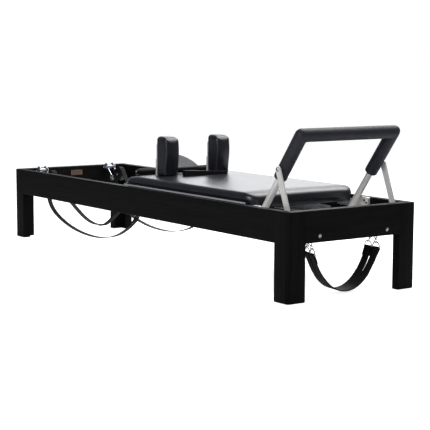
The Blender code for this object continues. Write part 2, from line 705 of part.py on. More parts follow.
def build_foot_strap():
    along = Vector((1.0, 0.0, 0.0))
    count = 28
    points = [foot_strap_point(-1 + 2 * i / count) for i in range(count + 1)]
    strap = ribbon("foot_strap", points, 2 * FOOT_STRAP_HALF, FOOT_STRAP_T, along, "black_leather")
    slits = [box(f"cut_slit_{side}", (FOOT_STRAP_X - 0.002, FOOT_STRAP_X + 0.002),
                 sorted((FOOT_STRAP_MIDDLE + sy * 0.11, sy * 0.20)), (0.112, 0.20)) for side, sy in SIDES]
    combine(strap, slits, "DIFFERENCE")

    pieces = [strap]
    for side, sy in SIDES:
        y = FOOT_STRAP_MIDDLE + sy * (FOOT_STRAP_SPAN + 0.0005)
        ring_low = FOOT_STRAP_TOP + 0.006
        loops = []
        for tag, x in (("a", FOOT_STRAP_X - 0.0222), ("b", FOOT_STRAP_X + 0.0222)):
            arch = circle((x, ring_low + 0.006), 0.0205, 9, 0.0, math.pi)
            flat = [(x - 0.0205, ring_low), (x - 0.007, ring_low), (x + 0.007, ring_low), (x + 0.0205, ring_low)]
            outline = [Vector((u, y, v)) for u, v in arch + flat]
            name = f"d_rings_{side}" if tag == "a" else f"guide_ring_{side}"
            loops.append(wire_loop(name, outline, Vector((0, 1, 0)), 0.0024, "chrome" if tag == "a" else None))
        combine(loops[0], loops[1:], "UNION")
        pieces.append(loops[0])

        hooks = []
        for tag, foot_x, top_x in (("a", FOOT_STRAP_X - 0.0222, EYE_X - 0.0015),
                                   ("b", FOOT_STRAP_X + 0.0222, EYE_X + 0.0015)):
            foot = Vector((foot_x, y, ring_low + 0.0155))
            top = Vector((top_x, sy * EYE_Y, EYE_Z - 0.0045))
            length = (top - foot).length
            up = (top - foot).normalized()
            side_way = Vector((0.0, 1.0, 0.0))
            normal = up.cross(side_way).normalized()
            wide = 0.0085
            loop = [(u, v) for u, v in circle((0.0, length - wide), wide, 9, 0.0, math.pi)]
            loop += [(u, v) for u, v in circle((0.0, wide), wide, 9, math.pi, 2 * math.pi)]
            outline = [foot + side_way * u + up * v for u, v in loop]
            name = f"snap_hooks_{side}" if tag == "a" else f"guide_hook_{side}"
            hooks.append(wire_loop(name, outline, normal, 0.0022, "chrome" if tag == "a" else None))
        combine(hooks[0], hooks[1:], "UNION")
        pieces.append(hooks[0])
    joint_frame("axis_foot_strap", (EYE_X, 0.0, EYE_Z), pieces)

    for side, sy in SIDES:
        centre = (sy * EYE_Y, EYE_Z)
        outer = LENGTH / 2
        profile = [(0.0035, EYE_X + 0.012), (0.0040, EYE_X + 0.014), (0.0040, outer + GAP),
                   (0.0080, outer + GAP), (0.0080, outer + 0.0022), (0.0055, outer + 0.0038)]
        bolt = turned(f"strap_eye_{side}", profile, "x", centre, "chrome")
        ring = [Vector((u, sy * EYE_Y, v)) for u, v in circle((EYE_X, EYE_Z), 0.0115, 16)]
        loop = wire_loop(f"guide_eye_{side}", ring, Vector((0, 1, 0)), 0.0030)
        combine(bolt, [loop], "UNION")


def main():
    clear_scene()
    build_frame()
    build_tracks()
    build_carriage()
    build_shoulder_rests()
    build_headrest()
    build_springs()
    build_footbar()
    build_pulleys()
    build_pull_straps()
    build_foot_strap()


main()
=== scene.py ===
"""The looks of a studio pilates reformer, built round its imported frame.

Metres, +Z up, the floor at z = 0; +X is the foot end with the footbar, -Y the near side.
Every new piece is a surface worked out with numpy: a grid of points from two parameters,
or a profile carried along a path.
"""
import math

import bpy
import numpy as np
from mathutils import Matrix, Vector


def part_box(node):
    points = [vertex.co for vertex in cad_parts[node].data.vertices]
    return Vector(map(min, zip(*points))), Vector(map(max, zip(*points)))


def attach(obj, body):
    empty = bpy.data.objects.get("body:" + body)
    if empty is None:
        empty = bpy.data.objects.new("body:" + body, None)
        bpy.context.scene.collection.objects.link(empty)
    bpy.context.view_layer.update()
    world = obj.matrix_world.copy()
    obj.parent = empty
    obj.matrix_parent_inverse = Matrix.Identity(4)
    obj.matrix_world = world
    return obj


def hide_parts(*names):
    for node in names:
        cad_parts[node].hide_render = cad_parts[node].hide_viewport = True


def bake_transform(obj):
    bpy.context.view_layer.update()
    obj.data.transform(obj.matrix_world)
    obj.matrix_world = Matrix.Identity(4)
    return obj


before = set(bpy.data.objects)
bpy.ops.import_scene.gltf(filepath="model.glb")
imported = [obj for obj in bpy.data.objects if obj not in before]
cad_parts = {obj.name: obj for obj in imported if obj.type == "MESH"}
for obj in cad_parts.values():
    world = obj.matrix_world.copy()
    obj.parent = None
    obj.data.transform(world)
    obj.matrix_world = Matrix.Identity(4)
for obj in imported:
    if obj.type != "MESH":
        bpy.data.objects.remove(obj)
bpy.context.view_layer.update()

SIDES = (("near", -1.0), ("far", 1.0))
TAU = 2.0 * math.pi
MM = 0.001
X_AXIS, Y_AXIS, Z_AXIS = np.eye(3)


# ================================================================ shells
# A shell is (points, faces, uv): one closed surface, before it becomes a mesh.

def unit(vectors):
    """Each vector divided by its length."""
    vectors = np.asarray(vectors, float)
    return vectors / np.linalg.norm(vectors, axis=-1, keepdims=True)


def weave(grid, loop_rows=False, loop_cols=True, caps=True, uv=None):
    """A grid of points, grid[row, column], skinned with four-sided faces.

    Rows and columns close on themselves where asked, and the first and last rows are
    capped.  The faces are turned outwards by the sign of the enclosed volume, which is
    the sum of p . (q x r) over the faces' corners.
    """
    rows, cols = grid.shape[:2]
    index = np.arange(rows * cols).reshape(rows, cols)
    if loop_rows:
        index = np.vstack([index, index[:1]])
    if loop_cols:
        index = np.hstack([index, index[:, :1]])
    quads = np.stack([index[:-1, :-1], index[:-1, 1:], index[1:, 1:], index[1:, :-1]], axis=-1).reshape(-1, 4)
    points = grid.reshape(-1, 3)
    a, b, c, d = (points[quads[:, k]] for k in range(4))
    volume = (a * np.cross(b, c)).sum() + (a * np.cross(c, d)).sum()
    ends = []
    if caps and not loop_rows:
        first, last = index[0, :cols], index[-1, :cols]
        for end, turn in ((first[::-1], 1.0), (last, 1.0)):
            corner = points[end]
            volume += (corner[0] * np.cross(corner[1:-1], corner[2:])).sum() * turn
            ends.append(end.tolist())
    faces = quads.tolist() + ends
    if volume < 0:
        faces = [face[::-1] for face in faces]
    if uv is None:
        uv = np.zeros((len(points), 2))
    return points, faces, uv.reshape(-1, 2)


def arc(centre, radius, start, end, count):
    """Points (u, v) on a circle's arc, the angles in degrees."""
    angles = np.radians(np.linspace(start, end, count))
    return np.stack([centre[0] + radius * np.cos(angles), centre[1] + radius * np.sin(angles)], axis=-1)


def along(path):
    """The unit tangent at each point of an open path, by central differences."""
    return unit(np.gradient(np.asarray(path, float), axis=0))


def lengths(path):
    """The distance along a path to each of its points."""
    steps = np.linalg.norm(np.diff(path, axis=0), axis=1)
    return np.concatenate([[0.0], np.cumsum(steps)])


def curve_through(points, count):
    """A Catmull-Rom curve through the points, resampled to even steps of its length."""
    points = np.asarray(points, float)
    padded = np.vstack([2 * points[0] - points[1], points, 2 * points[-1] - points[-2]])
    t = np.linspace(0.0, 1.0, 17)[:-1, None]
    p0, p1, p2, p3 = (padded[k:len(padded) - 3 + k, None, :] for k in range(4))
    spans = 0.5 * (2 * p1 + (p2 - p0) * t + (2 * p0 - 5 * p1 + 4 * p2 - p3) * t ** 2
                   + (3 * p1 - p0 - 3 * p2 + p3) * t ** 3)
    fine = np.vstack([spans.reshape(-1, points.shape[1]), points[-1:]])
    run = lengths(fine)
    even = np.linspace(0.0, run[-1], count)
    return np.stack([np.interp(even, run, fine[:, k]) for k in range(points.shape[1])], axis=-1)


def tube(path, radius, up=Z_AXIS, sides=12, loop=False):
    """A round wire: at each point of the path a circle of the radius, in the plane of
    side = tangent x up and lift = side x tangent."""
    path = np.asarray(path, float)
    if loop:
        tangent = unit(np.roll(path, -1, axis=0) - np.roll(path, 1, axis=0))
    else:
        tangent = along(path)
    side = unit(np.cross(tangent, up))
    lift = np.cross(side, tangent)
    angle = np.linspace(0.0, TAU, sides, endpoint=False)
    radius = np.broadcast_to(np.asarray(radius, float), (len(path),))[:, None, None]
    ring = np.cos(angle)[None, :, None] * side[:, None] + np.sin(angle)[None, :, None] * lift[:, None]
    return weave(path[:, None] + radius * ring, loop_rows=loop)


def lathe(profile, origin, axis, sides=32):
    """A turned form: each (radius, height) of the profile swept round the axis."""
    profile = np.asarray(profile, float)
    axis = unit(axis)
    side = unit(np.cross(axis, Z_AXIS if abs(axis[2]) < 0.9 else X_AXIS))
    other = np.cross(axis, side)
    angle = np.linspace(0.0, TAU, sides, endpoint=False)
    ring = np.cos(angle)[:, None] * side + np.sin(angle)[:, None] * other
    grid = (np.asarray(origin, float) + profile[:, 1, None, None] * axis
            + profile[:, 0, None, None] * ring[None])
    return weave(grid)


def band(path, across, width, thickness, shift=0.0):
    """A flat strap: a rectangle with rounded edges carried along the path, its width
    along `across`, one direction or one for each point.  Its normal is tangent x across,
    and shift moves it along that.  The uv is the distance along the path and the
    distance across, in metres."""
    path = np.asarray(path, float)
    across = np.broadcast_to(unit(across), path.shape)
    tangent = along(path)
    tangent = unit(tangent - (tangent * across).sum(axis=1, keepdims=True) * across)
    normal = np.cross(tangent, across)
    half, edge = thickness / 2, min(thickness / 2, 0.0014) * 0.9
    corner_u, corner_v = width / 2 - edge, half - edge
    section = np.vstack([arc((su * corner_u, sv * corner_v), edge, start, start + 90, 4)
                         for su, sv, start in ((1, 1, 0), (-1, 1, 90), (-1, -1, 180), (1, -1, 270))])
    flats = np.linspace(corner_u, -corner_u, 7)[1:-1]
    top = np.stack([flats, np.full(5, half)], axis=-1)
    section = np.vstack([section[:4], top, section[4:12], -top, section[12:]])
    grid = (path[:, None] + section[None, :, 0, None] * across[:, None]
            + (section[None, :, 1, None] + shift) * normal[:, None])
    uv = np.stack(np.broadcast_arrays(lengths(path)[:, None], section[None, :, 0]), axis=-1)
    return weave(grid, uv=uv)


def plate(outline, axis, low, high, edge=0.0008):
    """An outline extruded between two levels, its rims rounded: the outline is drawn in
    by edge x (1 - sin a) while the level moves by edge x (1 - cos a)."""
    outline = np.asarray(outline, float)
    tangent = unit(np.roll(outline, -1, axis=0) - np.roll(outline, 1, axis=0))
    inward = np.stack([-tangent[:, 1], tangent[:, 0]], axis=-1)
    area = (outline[:, 0] * np.roll(outline[:, 1], -1) - np.roll(outline[:, 0], -1) * outline[:, 1]).sum()
    inward *= math.copysign(1.0, area)
    turn = np.radians(np.linspace(0, 90, 4))
    inset = np.concatenate([edge * (1 - np.sin(turn)), edge * (1 - np.sin(turn))[::-1]])
    level = np.concatenate([low + edge * (1 - np.cos(turn)), high - edge * (1 - np.cos(turn))[::-1]])
    flat = outline[None] + inset[:, None, None] * inward[None]
    place = {0: (1, 2), 1: (0, 2), 2: (0, 1)}[axis]
    grid = np.empty((len(level), len(outline), 3))
    grid[..., place[0]] = flat[..., 0]
    grid[..., place[1]] = flat[..., 1]
    grid[..., axis] = level[:, None]
    return weave(grid)


# ================================================================ pieces

def piece(name, shells, material, body, replaces=(), sharp=40.0):
    """One object from one or more shells, riding on a body."""
    points = np.vstack([shell[0] for shell in shells])
    offsets = np.concatenate([[0], np.cumsum([len(shell[0]) for shell in shells])[:-1]])
    faces = [[int(v + offset) for v in face] for shell, offset in zip(shells, offsets) for face in shell[1]]
    uv = np.vstack([shell[2] for shell in shells])
    mesh = bpy.data.meshes.new(name)
    mesh.from_pydata(points, [], faces)
    corner = np.empty(len(mesh.loops), dtype=np.int32)
    mesh.loops.foreach_get("vertex_index", corner)
    layer = mesh.uv_layers.new(name="metres")
    layer.uv.foreach_set("vector", uv[corner].astype(np.float32).ravel())
    mesh.shade_smooth()
    if sharp:
        mesh.set_sharp_from_angle(angle=math.radians(sharp))
    obj = bpy.data.objects.new(name, mesh)
    bpy.context.scene.collection.objects.link(obj)
    mesh.materials.append(material)
    if body:
        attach(obj, body)
    if replaces:
        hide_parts(*replaces)
    return obj


def repaint(node, material):
    """A CAD node keeps its shape and takes a finished material."""
    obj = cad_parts[node]
    if not obj.material_slots:
        obj.data.materials.append(material)
    for each in obj.material_slots:
        each.material = material


def spans(node):
    """A CAD node's lowest corner, highest corner and middle, as arrays."""
    low, high = (np.array(corner, float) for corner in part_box(node))
    return low, high, (low + high) / 2


# ================================================================ materials

def linear(code):
    """An sRGB hex colour as linear RGBA."""
    channels = [int(code[i:i + 2], 16) / 255 for i in (1, 3, 5)]
    return (*[c / 12.92 if c <= 0.04045 else ((c + 0.055) / 1.055) ** 2.4 for c in channels], 1.0)


def add(tree, kind, inputs=None, **settings):
    """Adds one node, with its settings, and its inputs as values or as links from sockets."""
    made = tree.nodes.new(kind)
    for key, value in settings.items():
        setattr(made, key, value)
    for key, value in (inputs or {}).items():
        if isinstance(value, bpy.types.NodeSocket):
            tree.links.new(value, made.inputs[key])
        else:
            made.inputs[key].default_value = value
    return made


def new_material(name, **values):
    """A material with one Principled shader, its constant values set on the shader."""
    material = bpy.data.materials.new(name)
    material.use_nodes = True
    tree = material.node_tree
    shader = tree.nodes["Principled BSDF"]
    for key, value in values.items():
        shader.inputs[key.replace("_", " ").title().replace("Ior", "IOR")].default_value = value
    return material, tree, shader


def ramp(tree, fac, *stops):
    """A colour ramp over (position, hex colour) stops."""
    made = add(tree, "ShaderNodeValToRGB", {"Fac": fac})
    elements = made.color_ramp.elements
    for element, (position, code) in zip(elements, (stops[0], stops[-1])):
        element.position = position
        element.color = linear(code)
    for position, code in stops[1:-1]:
        elements.new(position).color = linear(code)
    return made.outputs["Color"]


def stained_oak(grain):
    """Open-grained oak, stained black and satin lacquered: near-black, with long pores
    that run with the grain and break up the gloss, and a faint brown where the grain is lightest."""
    material, tree, shader = new_material(f"black stained oak, grain along {'XYZ'[grain]}", ior=1.45)
    shader.inputs["Specular IOR Level"].default_value = 0.08
    place = add(tree, "ShaderNodeTexCoord").outputs["Object"]
    stretch = [160.0, 160.0, 160.0]
    stretch[grain] = 5.0                                   # pores 6 mm apart across, 200 mm long
    lie = add(tree, "ShaderNodeMapping", {"Vector": place, "Scale": stretch}).outputs["Vector"]
    pores = add(tree, "ShaderNodeTexNoise", {"Vector": lie, "Scale": 1.0, "Detail": 6.0,
                                             "Roughness": 0.62, "Distortion": 0.4}).outputs["Fac"]
    broad = [22.0, 22.0, 22.0]
    broad[grain] = 1.2                                     # growth rings 45 mm apart
    rings_at = add(tree, "ShaderNodeMapping", {"Vector": place, "Scale": broad}).outputs["Vector"]
    rings = add(tree, "ShaderNodeTexNoise", {"Vector": rings_at, "Scale": 1.0, "Detail": 3.0,
                                             "Distortion": 1.2}).outputs["Fac"]
    both = add(tree, "ShaderNodeMath", {0: pores, 1: rings}, operation="MULTIPLY").outputs[0]
    colour = ramp(tree, both, (0.12, "#060505"), (0.27, "#0c0b0b"), (0.45, "#141110"))
    rough = add(tree, "ShaderNodeMapRange", {"Value": pores, "To Min": 0.62, "To Max": 0.42}).outputs[0]
    dent = add(tree, "ShaderNodeBump", {"Height": pores, "Strength": 0.35, "Distance": 0.0006})
    tree.links.new(colour, shader.inputs["Base Color"])
    tree.links.new(rough, shader.inputs["Roughness"])
    tree.links.new(dent.outputs["Normal"], shader.inputs["Normal"])
    return material


def anodised(name, code, light, brush, roughness, metallic):
    """Satin anodised metal: two close tones in soft clouds, with fine drawing lines along
    one axis, which spread the highlight across them."""
    material, tree, shader = new_material(name, metallic=metallic)
    place = add(tree, "ShaderNodeTexCoord").outputs["Object"]
    stretch = [900.0, 900.0, 900.0]                        # draw lines about 1 mm apart
    stretch[brush] = 12.0
    lie = add(tree, "ShaderNodeMapping", {"Vector": place, "Scale": stretch}).outputs["Vector"]
    lines = add(tree, "ShaderNodeTexNoise", {"Vector": lie, "Scale": 1.0, "Detail": 3.0}).outputs["Fac"]
    cloud = add(tree, "ShaderNodeTexNoise", {"Vector": place, "Scale": 18.0, "Detail": 2.0}).outputs["Fac"]
    tone = add(tree, "ShaderNodeMix", {0: cloud, 6: linear(code), 7: linear(light)}, data_type="RGBA")
    rough = add(tree, "ShaderNodeMapRange", {"Value": lines, "To Min": roughness - 0.06,
                                             "To Max": roughness + 0.08}).outputs[0]
    dent = add(tree, "ShaderNodeBump", {"Height": lines, "Strength": 0.12, "Distance": 0.0002})
    tree.links.new(tone.outputs[2], shader.inputs["Base Color"])
    tree.links.new(rough, shader.inputs["Roughness"])
    tree.links.new(dent.outputs["Normal"], shader.inputs["Normal"])
    return material


def plated(name, code, roughness):
    """Polished plating on steel: a sharp mirror with faint smears that soften it."""
    material, tree, shader = new_material(name, metallic=1.0, base_color=linear(code))
    place = add(tree, "ShaderNodeTexCoord").outputs["Object"]
    smear = add(tree, "ShaderNodeTexNoise", {"Vector": place, "Scale": 140.0, "Detail": 4.0}).outputs["Fac"]
    rough = add(tree, "ShaderNodeMapRange", {"Value": smear, "To Min": roughness * 0.6,
                                             "To Max": roughness * 1.8}).outputs[0]
    tree.links.new(rough, shader.inputs["Roughness"])
    return material


def coated(name, dark, light, roughness, grit_mm, depth_mm, specular=0.4):
    """A coating or a moulded plastic: two close tones in soft clouds, and a fine grit of
    the given size that dulls the highlight."""
    material, tree, shader = new_material(name)
    shader.inputs["Specular IOR Level"].default_value = specular
    place = add(tree, "ShaderNodeTexCoord").outputs["Object"]
    cloud = add(tree, "ShaderNodeTexNoise", {"Vector": place, "Scale": 25.0, "Detail": 3.0}).outputs["Fac"]
    grit = add(tree, "ShaderNodeTexNoise", {"Vector": place, "Scale": 1.0 / (grit_mm * MM),
                                            "Detail": 2.0}).outputs["Fac"]
    colour = ramp(tree, cloud, (0.3, dark), (0.7, light))
    rough = add(tree, "ShaderNodeMapRange", {"Value": grit, "To Min": roughness - 0.07,
                                             "To Max": roughness + 0.09}).outputs[0]
    dent = add(tree, "ShaderNodeBump", {"Height": grit, "Strength": 0.3, "Distance": depth_mm * MM})
    tree.links.new(colour, shader.inputs["Base Color"])
    tree.links.new(rough, shader.inputs["Roughness"])
    tree.links.new(dent.outputs["Normal"], shader.inputs["Normal"])
    return material


def grained_vinyl(name, dark, light, roughness, grain_mm=1.4, specular=0.5):
    """Upholstery vinyl pressed with a leather grain: irregular raised pebbles with narrow
    creases, blue-black.  The creases are painted darker as shade, so the pebbles' tops read
    lighter, and the tops are also smoother, which gives them a soft sheen."""
    material, tree, shader = new_material(name)
    shader.inputs["Specular IOR Level"].default_value = specular
    place = add(tree, "ShaderNodeTexCoord").outputs["Object"]
    warp = add(tree, "ShaderNodeTexNoise", {"Vector": place, "Scale": 180.0, "Detail": 2.0}).outputs["Color"]
    bent = add(tree, "ShaderNodeMix", {0: 0.0016, 4: place, 5: warp}, data_type="VECTOR").outputs[1]
    pebble = add(tree, "ShaderNodeTexVoronoi", {"Vector": bent, "Scale": 1.0 / (grain_mm * MM)},
                 feature="DISTANCE_TO_EDGE").outputs["Distance"]
    crease = add(tree, "ShaderNodeMapRange", {"Value": pebble, "From Max": 0.25}).outputs[0]
    cloud = add(tree, "ShaderNodeTexNoise", {"Vector": place, "Scale": 14.0, "Detail": 3.0}).outputs["Fac"]
    base = ramp(tree, cloud, (0.3, dark), (0.7, light))
    # painted shade: the creases take the darkest tone whatever the light, so the pebbles' tops read lighter
    colour = add(tree, "ShaderNodeMix", {0: crease, 6: linear(dark), 7: base}, data_type="RGBA").outputs[2]
    rough = add(tree, "ShaderNodeMapRange", {"Value": crease, "To Min": roughness + 0.14,
                                             "To Max": roughness}).outputs[0]
    dent = add(tree, "ShaderNodeBump", {"Height": crease, "Strength": 0.22, "Distance": 0.00025})
    tree.links.new(colour, shader.inputs["Base Color"])
    tree.links.new(rough, shader.inputs["Roughness"])
    tree.links.new(dent.outputs["Normal"], shader.inputs["Normal"])
    return material


def strap_leather(name, width):
    """Waxed strap leather: black, with fine creases across the strap, painted darker where
    they sink, and a row of stitches 3 mm in from each edge.  The stitches are 4 mm long with
    1.5 mm between them, read from the strap's own uv in metres."""
    material, tree, shader = new_material(name)
    shader.inputs["Specular IOR Level"].default_value = 0.12
    place = add(tree, "ShaderNodeTexCoord")
    split = add(tree, "ShaderNodeSeparateXYZ", {"Vector": place.outputs["UV"]})
    run, over = split.outputs["X"], split.outputs["Y"]
    from_middle = add(tree, "ShaderNodeMath", {0: over}, operation="ABSOLUTE").outputs[0]
    to_row = add(tree, "ShaderNodeMath", {0: from_middle, 1: width / 2 - 0.003, 2: 0.0006},
                 operation="COMPARE").outputs[0]
    beat = add(tree, "ShaderNodeMath", {0: run, 1: 0.0055}, operation="MODULO").outputs[0]
    dash = add(tree, "ShaderNodeMath", {0: beat, 1: 0.004}, operation="LESS_THAN").outputs[0]
    stitch = add(tree, "ShaderNodeMath", {0: to_row, 1: dash}, operation="MULTIPLY").outputs[0]
    stretch = add(tree, "ShaderNodeMapping", {"Vector": place.outputs["UV"], "Scale": (420.0, 90.0, 1.0)})
    creases = add(tree, "ShaderNodeTexNoise", {"Vector": stretch.outputs["Vector"], "Scale": 1.0,
                                               "Detail": 5.0, "Roughness": 0.6}).outputs["Fac"]
    # painted shade: the leather is darker where the crease noise sinks and lighter where it rises
    hide_and_crease_shade = ramp(tree, creases, (0.30, "#0d0c0d"), (0.55, "#131213"), (0.80, "#1b191b"))
    thread = linear("#4a4748")
    colour = add(tree, "ShaderNodeMix", {0: stitch, 6: hide_and_crease_shade, 7: thread}, data_type="RGBA").outputs[2]
    height = add(tree, "ShaderNodeMath", {0: creases, 1: stitch}, operation="ADD").outputs[0]
    rough = add(tree, "ShaderNodeMapRange", {"Value": creases, "To Min": 0.66, "To Max": 0.50}).outputs[0]
    dent = add(tree, "ShaderNodeBump", {"Height": height, "Strength": 0.35, "Distance": 0.0003})
    tree.links.new(colour, shader.inputs["Base Color"])
    tree.links.new(rough, shader.inputs["Roughness"])
    tree.links.new(dent.outputs["Normal"], shader.inputs["Normal"])
    return material


OAK = [stained_oak(axis) for axis in range(3)]
LAMINATE = coated("black laminate on the deck board", "#09090a", "#111112", 0.50, 1.2, 0.05, 0.3)
ALUMINIUM_X = anodised("satin anodised aluminium, drawn along X", "#d4d8de", "#e4e7eb", 0, 0.34, 0.20)
ALUMINIUM_Z = anodised("satin anodised aluminium, drawn upright", "#e6e3e0", "#f1efec", 2, 0.42, 0.30)
CHROME = plated("satin chrome on steel", "#b9bec4", 0.22)
STEEL_WIRE = plated("zinc-plated spring wire", "#a3a6a8", 0.30)
COPPER = plated("copper rivet, tumbled", "#c08a62", 0.30)
BRONZE = anodised("dark bronze plate, brushed", "#54443a", "#665347", 1, 0.50, 0.25)
BLACK_STEEL = coated("black powder-coated steel", "#0a0a0b", "#121213", 0.55, 0.5, 0.08, 0.2)
POLYURETHANE = coated("cast black polyurethane", "#131315", "#1d1d20", 0.34, 0.8, 0.05)
FOAM_SKIN = grained_vinyl("foam grip in smooth vinyl", "#22222a", "#2d2d36", 0.50, 1.0, 0.35)
VINYL = grained_vinyl("black upholstery vinyl", "#14141c", "#1c1c27", 0.27, 1.4, 0.55)
PULL_LEATHER = strap_leather("black strap leather, 25 mm", 0.025)
HEADREST_VINYL = grained_vinyl("headrest vinyl, duller", "#26262b", "#323238", 0.50)
FOOT_LEATHER = strap_leather("black strap leather, 90 mm", 0.090)


def paint_frame():
    """The CAD nodes whose shape is right take their real finish."""
    upright = [f"leg_{end}_{side}" for end in ("head", "foot") for side, _ in SIDES]
    finishes = {
        0: ["side_rail_near", "side_rail_far"],
        1: ["end_rail_head", "end_rail_foot", "foot_cross_batten"],
        2: upright,
    }
    for axis, nodes in finishes.items():
        for node in nodes:
            repaint(node, OAK[axis])
    for node in ("track_near", "track_far", "carriage_side_near", "carriage_side_far"):
        repaint(node, ALUMINIUM_X)
    for side, _ in SIDES:
        for node in (f"footbar_brace_{side}", f"footbar_hinge_plate_{side}", f"shoulder_bracket_{side}"):
            repaint(node, ALUMINIUM_Z)
        repaint(f"pulley_bracket_{side}", CHROME)
        repaint(f"pulley_fork_{side}", BLACK_STEEL)
        repaint(f"pulley_wheel_{side}", POLYURETHANE)
        repaint(f"pull_handle_{side}", BLACK_STEEL)
        repaint(f"strap_eye_{side}", CHROME)
        for end in ("head", "foot"):
            repaint(f"carriage_wheel_{end}_{side}", POLYURETHANE)
    repaint("footbar_tube", ALUMINIUM_Z)
    repaint("carriage_deck", LAMINATE)
    repaint("name_plate", BRONZE)
    for node in ("gear_bar", "spring_anchor_bar", "axle_beam_head", "axle_beam_foot", "headrest_wedge",
                 "headrest_board"):
        repaint(node, BLACK_STEEL)


# ================================================================ upholstery

def rounded_box(x, y, corners, steps=10):
    """A rectangle's outline with its four corners rounded: x and y are its low and high
    limits, and the corner radii go round from (low x, low y) by the +X side."""
    centres = ((x[0], y[0], 1, 1, 180), (x[1], y[0], -1, 1, 270),
               (x[1], y[1], -1, -1, 0), (x[0], y[1], 1, -1, 90))
    runs = [arc((cx + sx * r, cy + sy * r), r, start, start + 90, steps)
            for (cx, cy, sx, sy, start), r in zip(centres, corners)]
    return np.vstack(runs)


def spread(outline, step):
    """A closed outline resampled so that its points lie about one step apart."""
    closed = np.vstack([outline, outline[:1]])
    run = lengths(closed)
    even = np.linspace(0.0, run[-1], int(run[-1] / step) + 1)[:-1]
    return np.stack([np.interp(even, run, closed[:, k]) for k in range(2)], axis=-1)


def inset_by(outline, distance):
    """Each point of a closed outline moved inwards along its normal."""
    tangent = unit(np.roll(outline, -1, axis=0) - np.roll(outline, 1, axis=0))
    return outline + distance * np.stack([-tangent[:, 1], tangent[:, 0]], axis=-1)


def edge_distance(points, outline):
    """The distance of plan points from a closed outline's segments."""
    start, step = outline, np.roll(outline, -1, axis=0) - outline
    away = points[..., None, :] - start
    share = np.clip((away * step).sum(-1) / (step * step).sum(-1), 0.0, 1.0)
    return np.linalg.norm(away - share[..., None] * step, axis=-1).min(-1)


def cushion(outline, low, high, round_low, round_high, crown, reach, bulge, rows=16, fall=None):
    """A padded form over a plan outline, as a grid of (u, v, height).

    The side leans out by bulge x sin(pi t) between its rounded rims, the rims are
    quarter circles, and the top rises by crown x (1 - (1 - d / reach)^2) with the
    distance d from the rim.  fall(u, v, height) may reshape the whole.
    """
    turn = np.radians(np.linspace(0.0, 90.0, 7))
    share = np.linspace(0.0, 1.0, 9)[1:-1]
    side_low, side_high = low + round_low, high - round_high
    inset = np.concatenate([round_low * (1 - np.sin(turn)), -bulge * np.sin(math.pi * share),
                            round_high * (1 - np.cos(turn))])
    level = np.concatenate([low + round_low * (1 - np.cos(turn)), side_low + (side_high - side_low) * share,
                            side_high + round_high * np.sin(turn)])
    rim = np.stack([np.column_stack([inset_by(outline, d), np.full(len(outline), z)])
                    for d, z in zip(inset, level)])
    middle = outline.mean(axis=0)
    shrink = (1.0 - np.linspace(0.0, 0.97, rows)[1:])[:, None, None]
    first, last = rim[0, :, :2], rim[-1, :, :2]
    flat = np.full((rows - 1, len(outline), 1), low)
    under = np.concatenate([middle + shrink[::-1] * (first - middle), flat], axis=-1)
    over_plan = middle + shrink * (last - middle)
    depth = np.clip(edge_distance(over_plan, last) / reach, 0.0, 1.0)
    over = np.concatenate([over_plan, (high + crown * (1 - (1 - depth) ** 2))[..., None]], axis=-1)
    grid = np.concatenate([under, rim, over])
    if fall is not None:
        grid = fall(grid)
    return grid


def mat_top(x, y):
    """The height of the mat's crown above the plain top: highest along the middle of
    its foot half, and nothing at the head where the headrest and shoulder rests sit."""
    along_mat = np.clip((x - 0.16) / 0.45, 0.0, 1.0)
    along_mat = along_mat * along_mat * (3 - 2 * along_mat)
    return 0.0030 * along_mat * np.cos(np.clip(y / 0.30, -1, 1) * math.pi / 2)


def build_mat():
    """The carriage mat: a broad cushion with a soft rim, drawn down over the deck's foot
    end, and pressed in a little where the rests stand on it."""
    low, high, _ = spans("carriage_mat")
    deck_top = spans("carriage_deck")[1][2]
    outline = spread(rounded_box((low[0], high[0]), (low[1], high[1]), (0.045, 0.055, 0.055, 0.045)), 0.008)

    def fall(grid):
        x, y, z = grid[..., 0], grid[..., 1], grid[..., 2]
        lifted = np.clip((z - deck_top) / (high[2] - deck_top), 0.0, 1.0)
        head = np.clip((x - low[0]) / 0.115, 0.0, 1.0)
        side = np.clip(np.abs(y) / high[1], 0.0, 1.0) ** 2
        droop = (0.008 + 0.014 * side) * (1 - head) ** 2
        grid[..., 2] = z + lifted * (mat_top(x, y) - droop)
        roll = np.clip((x - 0.784) / (high[0] - 0.784), 0.0, 1.0)
        grid[..., 2] -= lifted * 0.026 * (1.0 - np.sqrt(1.0 - roll ** 2))
        foot_end = np.clip((x - 0.8385) / 0.004, 0.0, 1.0)
        depth = np.clip((0.382 - z) / (0.382 - deck_top), 0.0, 1.0)
        grid[..., 2] -= foot_end * depth * (deck_top - low[2])
        return grid

    grid = cushion(outline, deck_top + 0.0004, high[2] - 0.0020, 0.004, 0.017, 0.0018, 0.050, 0.0022, 34,
                   fall)
    mat = piece("mat_cushion", [weave(grid)], VINYL, "carriage", ["carriage_mat"], sharp=None)


